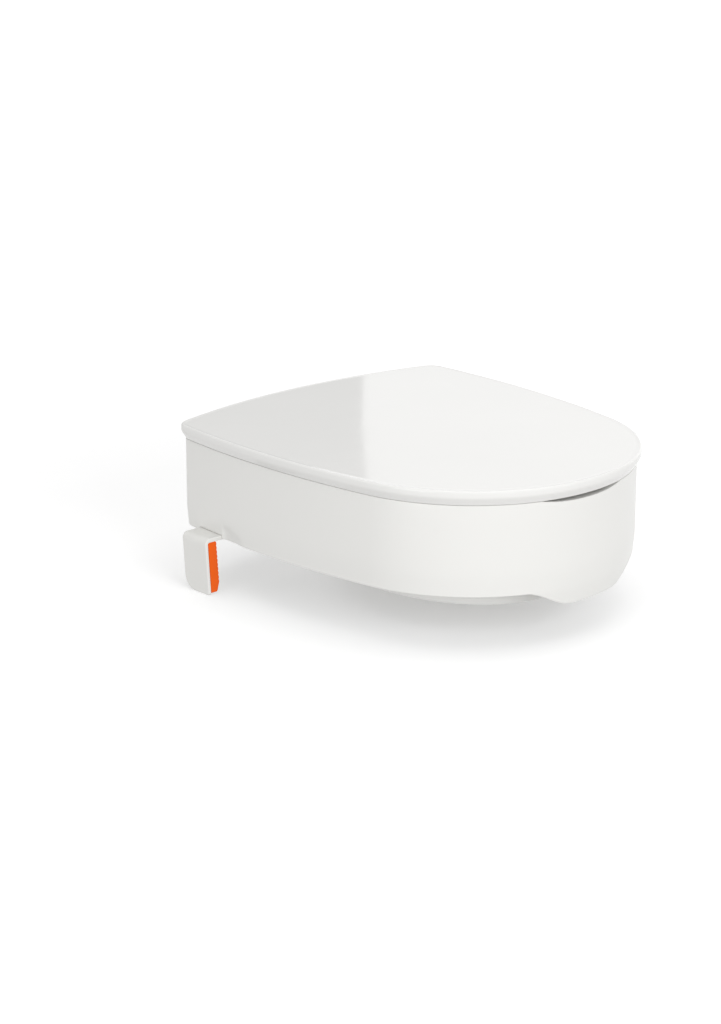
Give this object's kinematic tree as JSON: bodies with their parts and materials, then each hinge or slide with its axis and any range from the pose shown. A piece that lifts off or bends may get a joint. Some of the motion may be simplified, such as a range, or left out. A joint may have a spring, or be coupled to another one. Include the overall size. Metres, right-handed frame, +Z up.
{
  "type": "raised toilet seat",
  "caption": "Raised toilet seat with a hinged flat lid, a splash well, and sliding side brackets with soft grips that clamp it on a toilet pan's rim.",
  "frame": {"origin": "on the pan's rim plane, where the rim pads rest, in the middle of the seat's width and length", "axes": "+X to the user's left as they sit, -Y towards the front, +Z up; the YZ plane halves all but the tongue at the front"},
  "size_m": [0.3836, 0.4325, 0.1603],
  "materials": {
    "lid_plastic": "glossy white moulding",
    "seat_plastic": "satin white moulding",
    "inner_plastic": "fine matt off-white moulding",
    "lever_plastic": "matt grey moulding",
    "grip_rubber": "soft matt orange",
    "pad_rubber": "matt grey rubber",
    "buffer_rubber": "soft translucent white",
    "steel": "plain stainless steel"
  },
  "bodies": {
    "seat": {"seat_shell": "seat_plastic", "base_plate": "inner_plastic", "base_screws": "steel", "guide_screws": "steel", "hinge_screws": "steel", "rim_pad_front": "pad_rubber", "rim_pad_rear_left": "pad_rubber", "rim_pad_rear_right": "pad_rubber", "arm_guide_left": "inner_plastic", "arm_guide_right": "inner_plastic", "lever_pin_left": "steel", "lever_pin_right": "steel", "hinge_block_left": "seat_plastic", "hinge_block_right": "seat_plastic", "hinge_pin_left": "steel", "hinge_pin_right": "steel"},
    "lid": {"lid": "lid_plastic", "lid_buffer_front_left": "buffer_rubber", "lid_buffer_front_right": "buffer_rubber", "lid_buffer_rear_left": "buffer_rubber", "lid_buffer_rear_right": "buffer_rubber"},
    "bracket_left": {"bracket_left": "seat_plastic", "grip_pad_left": "grip_rubber"},
    "lever_left": {"lock_lever_left": "lever_plastic"},
    "bracket_right": {"bracket_right": "seat_plastic", "grip_pad_right": "grip_rubber"},
    "lever_right": {"lock_lever_right": "lever_plastic"}
  },
  "joints": [
    {"name": "lid_hinge", "type": "hinge", "parent": "seat", "child": "lid", "pos_m": [0, 0.2135, 0.0855], "axis": [-1, 0, 0], "range_deg": [0, 105]},
    {"name": "bracket_left_slide", "type": "slide", "parent": "seat", "child": "bracket_left", "axis": [1, 0, 0], "range_m": [-0.012, 0.024]},
    {"name": "lever_left_turn", "type": "hinge", "parent": "seat", "child": "lever_left", "pos_m": [0.128, 0.103, 0.0026], "axis": [0, 0, 1], "range_deg": [0, 75]},
    {"name": "bracket_right_slide", "type": "slide", "parent": "seat", "child": "bracket_right", "axis": [-1, 0, 0], "range_m": [-0.012, 0.024]},
    {"name": "lever_right_turn", "type": "hinge", "parent": "seat", "child": "lever_right", "pos_m": [-0.128, 0.103, 0.0026], "axis": [0, 0, -1], "range_deg": [0, 75]}
  ]
}
